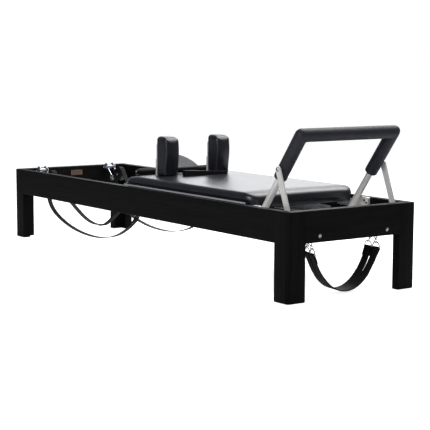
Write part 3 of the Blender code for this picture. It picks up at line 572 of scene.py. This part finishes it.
def build_shoulder_pads():
    """Upright pads with rounded rims.  The front swells towards the top, where it leans
    3 mm further out, and a seam runs round 9 mm in from the back."""
    for side, _ in SIDES:
        low, high, _ = spans(f"shoulder_pad_{side}")
        corners = (0.008, 0.008, 0.017, 0.017)
        outline = spread(rounded_box((low[1], high[1]), (low[2], high[2]), corners), 0.003)

        def fall(grid):
            up = np.clip((grid[..., 1] - low[2]) / (high[2] - low[2]), 0.0, 1.0)
            forward = np.clip((grid[..., 2] - low[0]) / (high[0] - low[0]), 0.0, 1.0)
            swell = 0.0105 * np.sin(math.pi * np.clip((up - 0.10) / 1.05, 0.0, 1.0)) ** 1.5
            drop = 0.008 * np.clip((up - 0.88) / 0.12, 0.0, 1.0) ** 2
            grid[..., 2] += forward * (swell - 0.003) - forward ** 3 * drop
            grid[..., 1] -= 0.004 * forward ** 3 * np.clip((up - 0.80) / 0.20, 0.0, 1.0)
            return grid

        grid = cushion(outline, low[0], high[0] - 0.001, 0.004, 0.012, 0.0040, 0.030, 0.0014, 16, fall)
        points = np.stack([grid[..., 2], grid[..., 0], grid[..., 1]], axis=-1)
        pad = piece(f"shoulder_cushion_{side}", [weave(points)], VINYL, f"shoulder_rest_{side}",
                    [f"shoulder_pad_{side}"], sharp=None)
        seam_path = np.column_stack([np.full(len(outline), low[0] + 0.011), inset_by(outline, -0.0004)])
        seam = piece(f"shoulder_seam_{side}", [tube(seam_path, 0.0010, up=X_AXIS, sides=8, loop=True)], VINYL,
                     f"shoulder_rest_{side}")
        seam.data.shade_smooth()


def build_headrest():
    """The half-round headrest pad on its board, crowned."""
    foot = np.array([-0.057, 0.0, 0.4125])
    tilt = math.radians(30.5)
    along_board = np.array([-math.cos(tilt), 0.0, math.sin(tilt)])
    off_board = np.array([math.sin(tilt), 0.0, math.cos(tilt)])
    angle = np.linspace(0.0, math.pi, 60)
    outline = np.column_stack([-0.122 * np.sin(angle), 0.090 * np.cos(angle)])
    outline = spread(outline, 0.004)[::-1]
    beside = 0.5 * (np.roll(outline, 1, axis=0) + np.roll(outline, -1, axis=0))
    outline = spread(0.5 * (outline + beside), 0.004)
    area = (outline[:, 0] * np.roll(outline[:, 1], -1) - np.roll(outline[:, 0], -1) * outline[:, 1]).sum()
    if area < 0:
        outline = outline[::-1]
    grid = cushion(outline, 0.0083, 0.0275, 0.003, 0.009, 0.0030, 0.040, 0.0004, 14)
    points = foot - grid[..., :1] * along_board + grid[..., 1:2] * Y_AXIS + grid[..., 2:] * off_board
    pad = piece("headrest_cushion", [weave(points)], HEADREST_VINYL, "headrest",
                ["headrest_pad"], sharp=None)


# ================================================================ footbar

PIVOT = np.array([0.867, 0.0, 0.300])
BAR_TOP = np.array([1.137, 0.0, 0.659])
BAR_Y = 0.244
FOAM_START = 0.228
FOAM_R = 0.0275
TUBE_R = 0.0145


def bar_path(bend, steps=9):
    """The footbar's centre line: two uprights and a cross bar, each corner an arc of the
    bend radius.  Returned as near upright, near arc, far arc, far upright."""
    lift = unit(BAR_TOP - PIVOT)
    runs = []
    for _, sign in SIDES:
        corner = BAR_TOP + sign * BAR_Y * Y_AXIS
        centre = corner - bend * lift - sign * bend * Y_AXIS
        turn = np.radians(np.linspace(0.0, 90.0, steps))[:, None]
        runs.append(centre + bend * (np.cos(turn) * sign * Y_AXIS + np.sin(turn) * lift))
    near, far = runs
    feet = [PIVOT + sign * BAR_Y * Y_AXIS for _, sign in SIDES]
    return feet[0], near, far[::-1], feet[1]


def build_footbar():
    """The bent tube with its hinge eyes, and three vinyl foam sleeves."""
    lift = unit(BAR_TOP - PIVOT)
    ahead = np.cross(Y_AXIS, lift)
    foot_near, near, far, foot_far = bar_path(0.018)
    whole = np.vstack([foot_near + 0.012 * lift, near, far, foot_far + 0.012 * lift])
    shells = [tube(whole, TUBE_R - 0.0001, up=ahead, sides=32)]
    for foot in (foot_near, foot_far):
        profile = [(0.0064, -0.015), (0.0167, -0.015), (0.0175, -0.0142), (0.0175, 0.0142), (0.0167, 0.015),
                   (0.0064, 0.015)]
        shells.append(lathe(profile, foot, Y_AXIS, 40))
    piece("footbar_bent_tube", shells, ALUMINIUM_Z, "footbar", ["footbar_tube"])

    tall = np.linalg.norm(BAR_TOP - PIVOT) - FOAM_START
    foot_end = [(tall - 0.0045 * (1 - math.cos(t)), FOAM_R - 0.0045 * (1 - math.sin(t)))
                for t in np.radians(np.linspace(0.0, 90.0, 6))]
    climb = foot_end + [(s, FOAM_R) for s in np.linspace(tall - 0.010, 0.036, 12)]
    corner = [(angle, FOAM_R) for angle in np.linspace(0.0, 42.0, 9)]
    lip = [(43.0, FOAM_R - 0.0002), (44.0, FOAM_R - 0.0008), (44.6, FOAM_R - 0.0018)]
    for name, sign in SIDES:
        rows = [foam_row(sign, radius, drop=s) for s, radius in climb]
        rows += [foam_row(sign, radius, turned=angle) for angle, radius in corner + lip]
        add_sleeve(name, rows)
    bend = [foam_row(-1.0, radius, turned=90.0 - angle) for angle, radius in lip[::-1] + corner[::-1]]
    middle = [foam_row(-1.0, FOAM_R, inward=s) for s in np.linspace(0.036, 2 * BAR_Y - 0.036, 20)]
    add_sleeve("top", bend + middle + [row * np.array([1.0, -1.0, 1.0]) for row in bend[::-1]])


def foam_row(sign, radius, drop=None, turned=None, inward=None):
    """One ring of a foam sleeve: down the upright from its corner, round the corner by an
    angle in degrees, or in along the cross bar.  Every line along the sleeve turns the
    corner on its own radius, 4 mm on the inside and 22 mm on the outside."""
    lift = unit(BAR_TOP - PIVOT)
    outward = sign * Y_AXIS
    ahead = np.cross(Y_AXIS, lift)
    angle = np.linspace(0.0, TAU, 40, endpoint=False)[:, None]
    out, aside = radius * np.cos(angle), radius * np.sin(angle)
    corner = BAR_TOP + sign * BAR_Y * Y_AXIS + aside * ahead
    if drop is not None:
        return corner + out * outward - drop * lift
    if inward is not None:
        return corner + out * lift - inward * outward
    bend = 0.004 + 0.018 * (out + FOAM_R) / (2 * FOAM_R)
    way = math.radians(turned)
    return corner + (out - bend) * (outward + lift) + bend * (math.cos(way) * outward + math.sin(way) * lift)


def add_sleeve(name, rows):
    """One vinyl foam sleeve from its rings."""
    obj = piece(f"footbar_sleeve_{name}", [weave(np.array(rows))], FOAM_SKIN, "footbar",
                [f"footbar_foam_{name}"], sharp=60.0)


# ================================================================ pulleys and pull straps

PULLEY_Y = 0.210
HUB = (-1.000, 0.323)
LINK_TOP = (-1.115, 0.358)
LINK_LOW = (-1.055, 0.300)
STRAP_WIDTH = 0.025
STRAP_T = 0.0034


def strap_route(y):
    """The pull strap's centre line: from under the carriage down in a long loop, up and
    over the pulley, and back in a short loop to the handle."""
    long_loop = [(-0.105, 0.3535), (-0.108, 0.310), (-0.117, 0.250), (-0.145, 0.195), (-0.215, 0.143),
                 (-0.330, 0.091), (-0.480, 0.062), (-0.640, 0.061), (-0.800, 0.083), (-0.935, 0.124),
                 (-1.012, 0.170), (-1.043, 0.225), (-1.045, 0.285)]
    short_loop = [(-0.944, 0.310), (-0.905, 0.275), (-0.850, 0.240), (-0.788, 0.208), (-0.724, 0.177),
                  (-0.651, 0.146), (-0.578, 0.128), (-0.517, 0.125), (-0.457, 0.132), (-0.417, 0.148),
                  (-0.367, 0.178), (-0.300, 0.220), (-0.235, 0.258), (-0.180, 0.305), (-0.150, 0.350),
                  (-0.142, 0.385), (-0.137, 0.408)]
    over = arc(HUB, 0.036 + 0.0008 + STRAP_T / 2, 170, 35, 9).tolist()
    plan = curve_through(long_loop + over + short_loop, 420)
    return np.column_stack([plan[:, 0], np.full(len(plan), y), plan[:, 1]])


def dome(at, axis, radius, height):
    """A low rounded head: a disc whose rim curves over like a quarter circle."""
    turn = np.radians(np.linspace(0, 84, 6))
    profile = [(radius * 0.8, -0.0005), (radius, 0.0)]
    profile += [(radius * (0.55 + 0.45 * math.cos(t)), height * math.sin(t)) for t in turn]
    profile += [(radius * 0.12, height)]
    return lathe(profile, at, axis, 20)


def socket_head(at, axis, radius, height, key):
    """A cap screw's head, its key hole a hexagonal well with a flat bottom."""
    axis = unit(axis)
    well = height * 0.55
    rim = radius * 0.12
    profile = [(radius * 0.6, -0.0006), (radius, -0.0004), (radius, height - rim), (radius - rim, height),
               (key, height), (key, height - well), (key * 0.2, height - well)]
    points, faces, uv = lathe(profile, at, axis, 36)
    grid = points.reshape(len(profile), 36, 3)
    angle = np.linspace(0.0, TAU, 36, endpoint=False)
    flat = math.cos(math.pi / 6) / np.cos((angle % (math.pi / 3)) - math.pi / 6)
    axis_points = np.asarray(at, float) + np.array([p[1] for p in profile])[:, None] * axis
    for row in (4, 5, 6):
        grid[row] = axis_points[row] + (grid[row] - axis_points[row]) * flat[:, None]
    return grid.reshape(-1, 3), faces, uv


def rivets(path, spots, half_gap, normal_shift):
    """Copper rivets in pairs across a strap at the given distances along it: a dome on
    each face."""
    run = lengths(path)
    tangent = along(path)
    shells = []
    for spot in spots:
        centre = np.array([np.interp(spot, run, path[:, k]) for k in range(3)])
        ahead = unit(np.array([np.interp(spot, run, tangent[:, k]) for k in range(3)]))
        normal = np.cross(ahead, Y_AXIS)
        for across in (-half_gap, half_gap):
            for face, lift in ((1.0, normal_shift[0]), (-1.0, normal_shift[1])):
                at = centre + across * Y_AXIS + face * lift * normal
                shells.append(dome(at, face * normal, 0.0036, 0.0014))
    return shells


def build_pull_straps():
    """Leather pull straps.  Each end is doubled back on itself and held by copper
    rivets, the doubling 0.2 mm clear of the strap."""
    for side, sign in SIDES:
        path = strap_route(sign * PULLEY_Y)
        run = lengths(path)
        strap = piece(f"pull_leather_{side}", [band(path, Y_AXIS, STRAP_WIDTH, STRAP_T)], PULL_LEATHER, None,
                      [f"pull_strap_{side}"], sharp=50.0)
        doubled = STRAP_T + 0.0002
        first, last = run < 0.225, run > run[-1] - 0.485
        ends = [band(path[first], Y_AXIS, STRAP_WIDTH, STRAP_T, -doubled),
                band(path[last], Y_AXIS, STRAP_WIDTH, STRAP_T, -doubled)]
        folds = piece(f"pull_leather_ends_{side}", ends, PULL_LEATHER, None, sharp=50.0)
        spots = [0.155, 0.206, run[-1] - 0.470, run[-1] - 0.440, run[-1] - 0.045, run[-1] - 0.020]
        lifts = (STRAP_T / 2, STRAP_T / 2 + doubled)
        copper = piece(f"strap_rivets_{side}", rivets(path, spots, 0.0068, lifts), COPPER, None)
        for obj in (strap, folds, copper):
            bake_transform(obj)


def build_pulleys():
    """Bolt heads and shackle rings on the pulley brackets, and the wheels' hub screws."""
    for side, sign in SIDES:
        mid = sign * PULLEY_Y
        shells, hubs = [], []
        for face in (-1.0, 1.0):
            outward = face * Y_AXIS
            cheek = mid + face * 0.0215
            shells.append(socket_head((LINK_TOP[0], cheek, LINK_TOP[1]), outward, 0.0125, 0.0036, 0.0060))
            shells.append(socket_head((LINK_LOW[0], cheek, LINK_LOW[1]), outward, 0.0105, 0.0034, 0.0048))
            plane = mid + face * 0.0240
            for x, z, ring in ((LINK_TOP[0] - 0.0115, 0.3565, 0.0105), (LINK_TOP[0] + 0.0125, 0.3565, 0.0105),
                               (LINK_LOW[0], LINK_LOW[1], 0.0125)):
                loop = arc((x, z), ring, 0, 340, 18)
                loop = np.column_stack([loop[:, 0], np.full(18, plane), loop[:, 1]])
                shells.append(tube(loop, 0.0022, up=Y_AXIS, sides=10, loop=True))
            hubs.append(socket_head((HUB[0], mid + face * 0.0174, HUB[1]), outward, 0.0070, 0.0032, 0.0034))
        piece(f"pulley_bolts_{side}", shells + hubs, CHROME, "frame")


# ================================================================ foot strap

RING_WIRE = 0.0024
SLING_MIDDLE = 0.010
SLING_REACH = 0.168


def hanging(half_span, low, high, steep, count):
    """A hanging chain's curve between two points level with each other: height
    low + (high - low) (cosh(steep t) - 1) / (cosh(steep) - 1), t from -1 to 1."""
    t = np.linspace(-1.0, 1.0, count)
    rise = (np.cosh(steep * t) - 1) / (math.cosh(steep) - 1)
    return np.column_stack([half_span * t, low + (high - low) * rise])


def sling_across(y):
    """The foot strap's width direction: turned 14 degrees about the upright at its near
    end and straight at its far end."""
    turn = np.radians(-14.0) * np.clip(0.5 - (np.asarray(y, float) - SLING_MIDDLE) / 0.336, 0.0, 1.0)
    return np.stack([np.cos(turn), np.sin(turn), np.zeros_like(turn)], axis=-1)


def build_foot_strap():
    """The wide strap under the foot end.  Its ends are slit, and each tab is folded
    round the flat of a D ring and turned back down along itself."""
    x_mid, width, thick = 1.093, 0.088, 0.0046
    curve = hanging(SLING_REACH, 0.0150, 0.170, 1.9, 121)
    body = curve[np.abs(curve[:, 0]) <= 0.118]
    body = np.column_stack([np.full(len(body), x_mid), body[:, 0] + SLING_MIDDLE, body[:, 1]])
    shells = [band(body, sling_across(body[:, 1]), width, thick)]
    rings, hooks = [], []
    for side, sign in SIDES:
        ring_y, ring_z = SLING_MIDDLE + sign * (SLING_REACH + 0.0005), 0.176
        rise = curve[curve[:, 0] * sign >= 0.112] + np.array([SLING_MIDDLE, 0.0])
        rise = rise[np.argsort(rise[:, 1])][:-4]
        reach = RING_WIRE + 0.0004 + thick / 2
        over = (-15, 215) if sign > 0 else (195, -35)
        wrap = arc((ring_y, ring_z), reach, *over, 14)
        back = wrap[-1] + np.linspace(0.004, 0.034, 8)[:, None] * unit(np.array([-sign * 0.40, -0.92]))
        outline = curve_through(np.vstack([rise, wrap, back]), 70)
        across = sling_across(np.full(len(outline), ring_y))
        flat_across = across[0]
        for place, top_x in ((-1.0, -0.0015), (1.0, 0.0015)):
            middle = np.column_stack([np.full(len(outline), x_mid), outline])
            along_tab = np.clip((middle[:, 2] - 0.105) / 0.065, 0.0, 1.0)[:, None]
            own = sling_across(middle[:, 1])
            tab = middle + place * (0.0222 + 0.0022 * along_tab) * own
            shells.append(band(tab, own, 0.0400, thick * 0.92))
            centre = np.array([x_mid, ring_y, ring_z]) + place * 0.0244 * flat_across
            bow = arc((0.0, 0.006), 0.0205, 0, 180, 15)
            bar = np.column_stack([np.linspace(-0.0205, 0.0205, 9), np.zeros(9)])
            ring = np.vstack([bow, bar])
            ring = centre + ring[:, :1] * flat_across + ring[:, 1:] * Z_AXIS
            facing = np.cross(flat_across, Z_AXIS)
            rings.append((side, tube(ring, RING_WIRE, up=facing, sides=14, loop=True)))
            eye = np.array([1.105 + top_x, sign * 0.180, 0.2560])
            hooks += [(side, shell) for shell in snap_hook(centre + 0.0215 * Z_AXIS, eye)]
    strap = piece("foot_sling", shells, FOOT_LEATHER, "foot_strap", ["foot_strap"],
                  sharp=50.0)
    for side, _ in SIDES:
        piece(f"d_ring_pair_{side}", [shell for at, shell in rings if at == side], CHROME, "foot_strap",
              [f"d_rings_{side}"])
        piece(f"snap_hook_pair_{side}", [shell for at, shell in hooks if at == side], CHROME, "foot_strap",
              [f"snap_hooks_{side}"])


def snap_hook(foot, top):
    """A snap hook between two points: an oval of wire, a swivel barrel at its foot with
    a small eye, and a sprung gate along one side."""
    up = unit(top - foot)
    side_way = unit(np.cross(up, np.cross(Y_AXIS, up)))
    length = np.linalg.norm(top - foot)
    eye_r, wide = 0.0075, 0.0082
    turn = np.radians(np.linspace(0, 360, 19)[:-1])
    eye = [foot + up * (eye_r - 0.001) + eye_r * (math.cos(t) * side_way + math.sin(t) * up) for t in turn]
    oval_low, oval_high = 2 * eye_r + 0.005 + wide, length - wide
    upper = arc((0.0, oval_high), wide, 0, 180, 12)
    lower = arc((0.0, oval_low), wide, 180, 360, 12)
    oval = np.vstack([upper, lower])
    oval = [foot + u * side_way + v * up for u, v in oval]
    normal = np.cross(up, side_way)
    barrel = [(0.0022, 0.0), (0.0040, 0.0008), (0.0042, 0.0030), (0.0036, 0.0050), (0.0022, 0.0058)]
    gate = [(0.0016, 0.0), (0.0029, 0.0006), (0.0029, 0.0110), (0.0016, 0.0118)]
    middle = foot + wide * side_way + (oval_low + 0.15 * (oval_high - oval_low)) * up
    return [tube(eye, 0.0018, up=normal, sides=10, loop=True),
            tube(oval, 0.0021, up=normal, sides=12, loop=True),
            lathe(barrel, foot + up * (2 * eye_r - 0.0008), up, 18),
            lathe(gate, middle, up, 16)]


# ================================================================ carriage hardware

def build_springs():
    """Four tension springs between the gear bar and the carriage's anchor bar: a close
    coil of 3.2 mm wire turning every 5.2 mm, with a hook at each end."""
    for number in (1, 2, 3, 4):
        low, high, mid = spans(f"carriage_spring_{number}")
        radius, wire = 0.0118, 0.0016
        start, end = low[0] + 0.024, high[0] - 0.024
        turns = int((end - start) / 0.0052)
        angle = np.linspace(0.0, TAU * turns, turns * 14 + 1)
        coil = np.column_stack([np.linspace(start, end, len(angle)), mid[1] + radius * np.cos(angle),
                                mid[2] + radius * np.sin(angle)])
        hook = arc((0.0, 0.0), 0.0085, 200, 520, 16)
        level, height = np.full(len(hook), mid[1]), mid[2] + hook[:, 0]
        head = np.column_stack([low[0] + 0.0105 - hook[:, 1] * 0.9, level, height])
        foot = np.column_stack([high[0] - 0.0105 + hook[:, 1] * 0.9, level, height])
        cap = [(0.0035, 0.0), (0.0128, 0.0012), (0.0134, 0.0030), (0.0134, 0.0085), (0.0128, 0.0100),
               (0.0035, 0.0105)]
        shells = [tube(coil, wire, up=X_AXIS, sides=6),
                  tube(head, 0.0019, up=Y_AXIS, sides=8),
                  tube(foot, 0.0019, up=Y_AXIS, sides=8),
                  lathe(cap, (start - 0.006, mid[1], mid[2]), X_AXIS, 24),
                  lathe(cap, (end + 0.006, mid[1], mid[2]), -X_AXIS, 24)]
        obj = piece(f"tension_spring_{number}", shells, STEEL_WIRE, None,
                    [f"carriage_spring_{number}"])
        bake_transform(obj)


def build_hardware():
    """Screws, bolts and end caps, each on the body that it fastens."""
    for side, sign in SIDES:
        outward = sign * Y_AXIS
        brace = [dome((1.040, sign * 0.2875, 0.519), outward, 0.0085, 0.0030),
                 dome((1.1235, sign * 0.2845, 0.300), outward, 0.0080, 0.0028)]
        brace.append(dome((1.040, sign * 0.2735, 0.519), -outward, 0.0078, 0.0008))
        piece(f"brace_bolts_{side}", brace, CHROME, f"footbar_brace_{side}")
        plate_screws = [socket_head((x, sign * 0.2885, z), -outward, 0.0048, 0.0022, 0.0024)
                        for x, z in ((0.918, 0.350), (0.931, 0.341), (0.880, 0.297))]
        piece(f"hinge_screws_{side}", plate_screws, BLACK_STEEL, "frame")
        low, high, mid = spans(f"pull_handle_{side}")
        ends = [dome((mid[0], low[1] + 0.0002, mid[2]), -Y_AXIS, 0.0055, 0.0026),
                dome((mid[0], high[1] - 0.0002, mid[2]), Y_AXIS, 0.0055, 0.0026)]
        piece(f"handle_bolts_{side}", ends, CHROME, "carriage")
        low, high, mid = spans(f"shoulder_bracket_{side}")
        knob = [dome((low[0] + 0.0002, mid[1], 0.465), -X_AXIS, 0.0082, 0.0030)]
        piece(f"shoulder_knob_{side}", knob, BLACK_STEEL, f"shoulder_rest_{side}")
        low, high, mid = spans(f"carriage_side_{side}")
        lip = sign * 0.2900
        cap = rounded_box((lip - 0.0026, lip + 0.0026), (0.3180, high[2] + 0.0008), (0.001,) * 4, 4)
        piece(f"rail_cap_{side}", [plate(cap, 0, high[0] - 0.0005, high[0] + 0.0110, 0.0010)], BLACK_STEEL,
              "carriage")
    low, high, mid = spans("name_plate")
    pins = [dome((high[0], y, mid[2]), X_AXIS, 0.0022, 0.0010) for y in (low[1] + 0.0045, high[1] - 0.0045)]
    piece("plate_pins", pins, CHROME, "frame")
    piece("eye_bolt_wells", [socket_head((1.1838, sign * 0.180, 0.262), X_AXIS, 0.0056, 0.0018, 0.0030)
                             for _, sign in SIDES], CHROME, "frame")


# ================================================================ studio

def build_studio():
    """A pale floor, soft light from above and behind, and a long-lens camera."""
    scene = bpy.context.scene
    scene.view_settings.view_transform = "Standard"
    span = 30.0
    square = np.array([(-span, -span), (span, -span), (span, span), (-span, span)])
    floor = piece("studio_floor", [plate(square, 2, -0.02, -0.0005, 0.0001)], floor_paint(), None)

    world = bpy.data.worlds.new("soft studio")
    scene.world = world
    world.use_nodes = True
    tree = world.node_tree
    way = add(tree, "ShaderNodeTexCoord").outputs["Generated"]
    behind = add(tree, "ShaderNodeVectorMath", {0: way, 1: (-0.80, 0.58, 0.10)}, operation="DOT_PRODUCT")
    glow = add(tree, "ShaderNodeMapRange", {"Value": behind.outputs["Value"], "From Min": 0.45,
                                            "From Max": 0.97, "To Min": 0.15, "To Max": 0.68}).outputs[0]
    seen = add(tree, "ShaderNodeLightPath").outputs["Is Camera Ray"]
    level = add(tree, "ShaderNodeMix", {0: seen, 2: glow, 3: 1.0}, data_type="FLOAT").outputs[0]
    tree.links.new(level, tree.nodes["Background"].inputs["Strength"])
    cool = add(tree, "ShaderNodeMix", {0: seen, 6: linear("#eef4fb"), 7: linear("#ffffff")}, data_type="RGBA")
    tree.links.new(cool.outputs[2], tree.nodes["Background"].inputs["Color"])

    for name, place, aim, size, power in (
            ("overhead_softbox", (0.2, 1.7, 3.0), (0.3, 0.2, 0.4), 2.4, 130.0),
            ("key_softbox", (3.2, -4.2, 2.6), (0.3, 0.0, 0.3), 1.8, 130.0),
            ("rim_softbox", (-3.4, 2.8, 2.0), (0.0, 0.0, 0.4), 2.4, 45.0)):
        lamp = bpy.data.lights.new(name, "AREA")
        lamp.shape = "SQUARE"
        lamp.size = size
        lamp.energy = power
        obj = bpy.data.objects.new(name, lamp)
        obj.location = place
        obj.rotation_euler = (Vector(aim) - Vector(place)).to_track_quat("-Z", "Y").to_euler()
        scene.collection.objects.link(obj)

    lens = bpy.data.cameras.new("long_lens")
    lens.sensor_width = 36.0
    lens.lens = 105.0
    lens.clip_end = 100.0
    camera = bpy.data.objects.new("long_lens", lens)
    heading, pitch, roll = math.radians(144.725), math.radians(-7.050), math.radians(0.207)
    level = math.cos(pitch)
    ahead = Vector((level * math.cos(heading), level * math.sin(heading), math.sin(pitch)))
    right = Vector((math.sin(heading), -math.cos(heading), 0.0))
    up = right.cross(ahead)
    turned_right = right * math.cos(roll) + up * math.sin(roll)
    turned_up = up * math.cos(roll) - right * math.sin(roll)
    turn = Matrix((turned_right, turned_up, -ahead)).transposed()
    camera.matrix_world = Matrix.Translation((4.9497, -3.3545, 0.9510)) @ turn.to_4x4()
    scene.collection.objects.link(camera)
    scene.camera = camera


def floor_paint():
    """A white studio floor lit from below, so that only contact shadows show on it."""
    material, tree, shader = new_material("white backlit studio floor", base_color=linear("#e8e8e8"),
                                          roughness=0.9)
    shader.inputs["Specular IOR Level"].default_value = 0.0
    seen = add(tree, "ShaderNodeLightPath").outputs["Is Camera Ray"]
    glow = add(tree, "ShaderNodeMath", {0: seen, 1: 0.86}, operation="MULTIPLY").outputs[0]
    shader.inputs["Emission Color"].default_value = (1.0, 1.0, 1.0, 1.0)
    tree.links.new(glow, shader.inputs["Emission Strength"])
    return material


paint_frame()
build_mat()
build_shoulder_pads()
build_headrest()
build_footbar()
build_pulleys()
build_pull_straps()
build_foot_strap()
build_springs()
build_hardware()
build_studio()
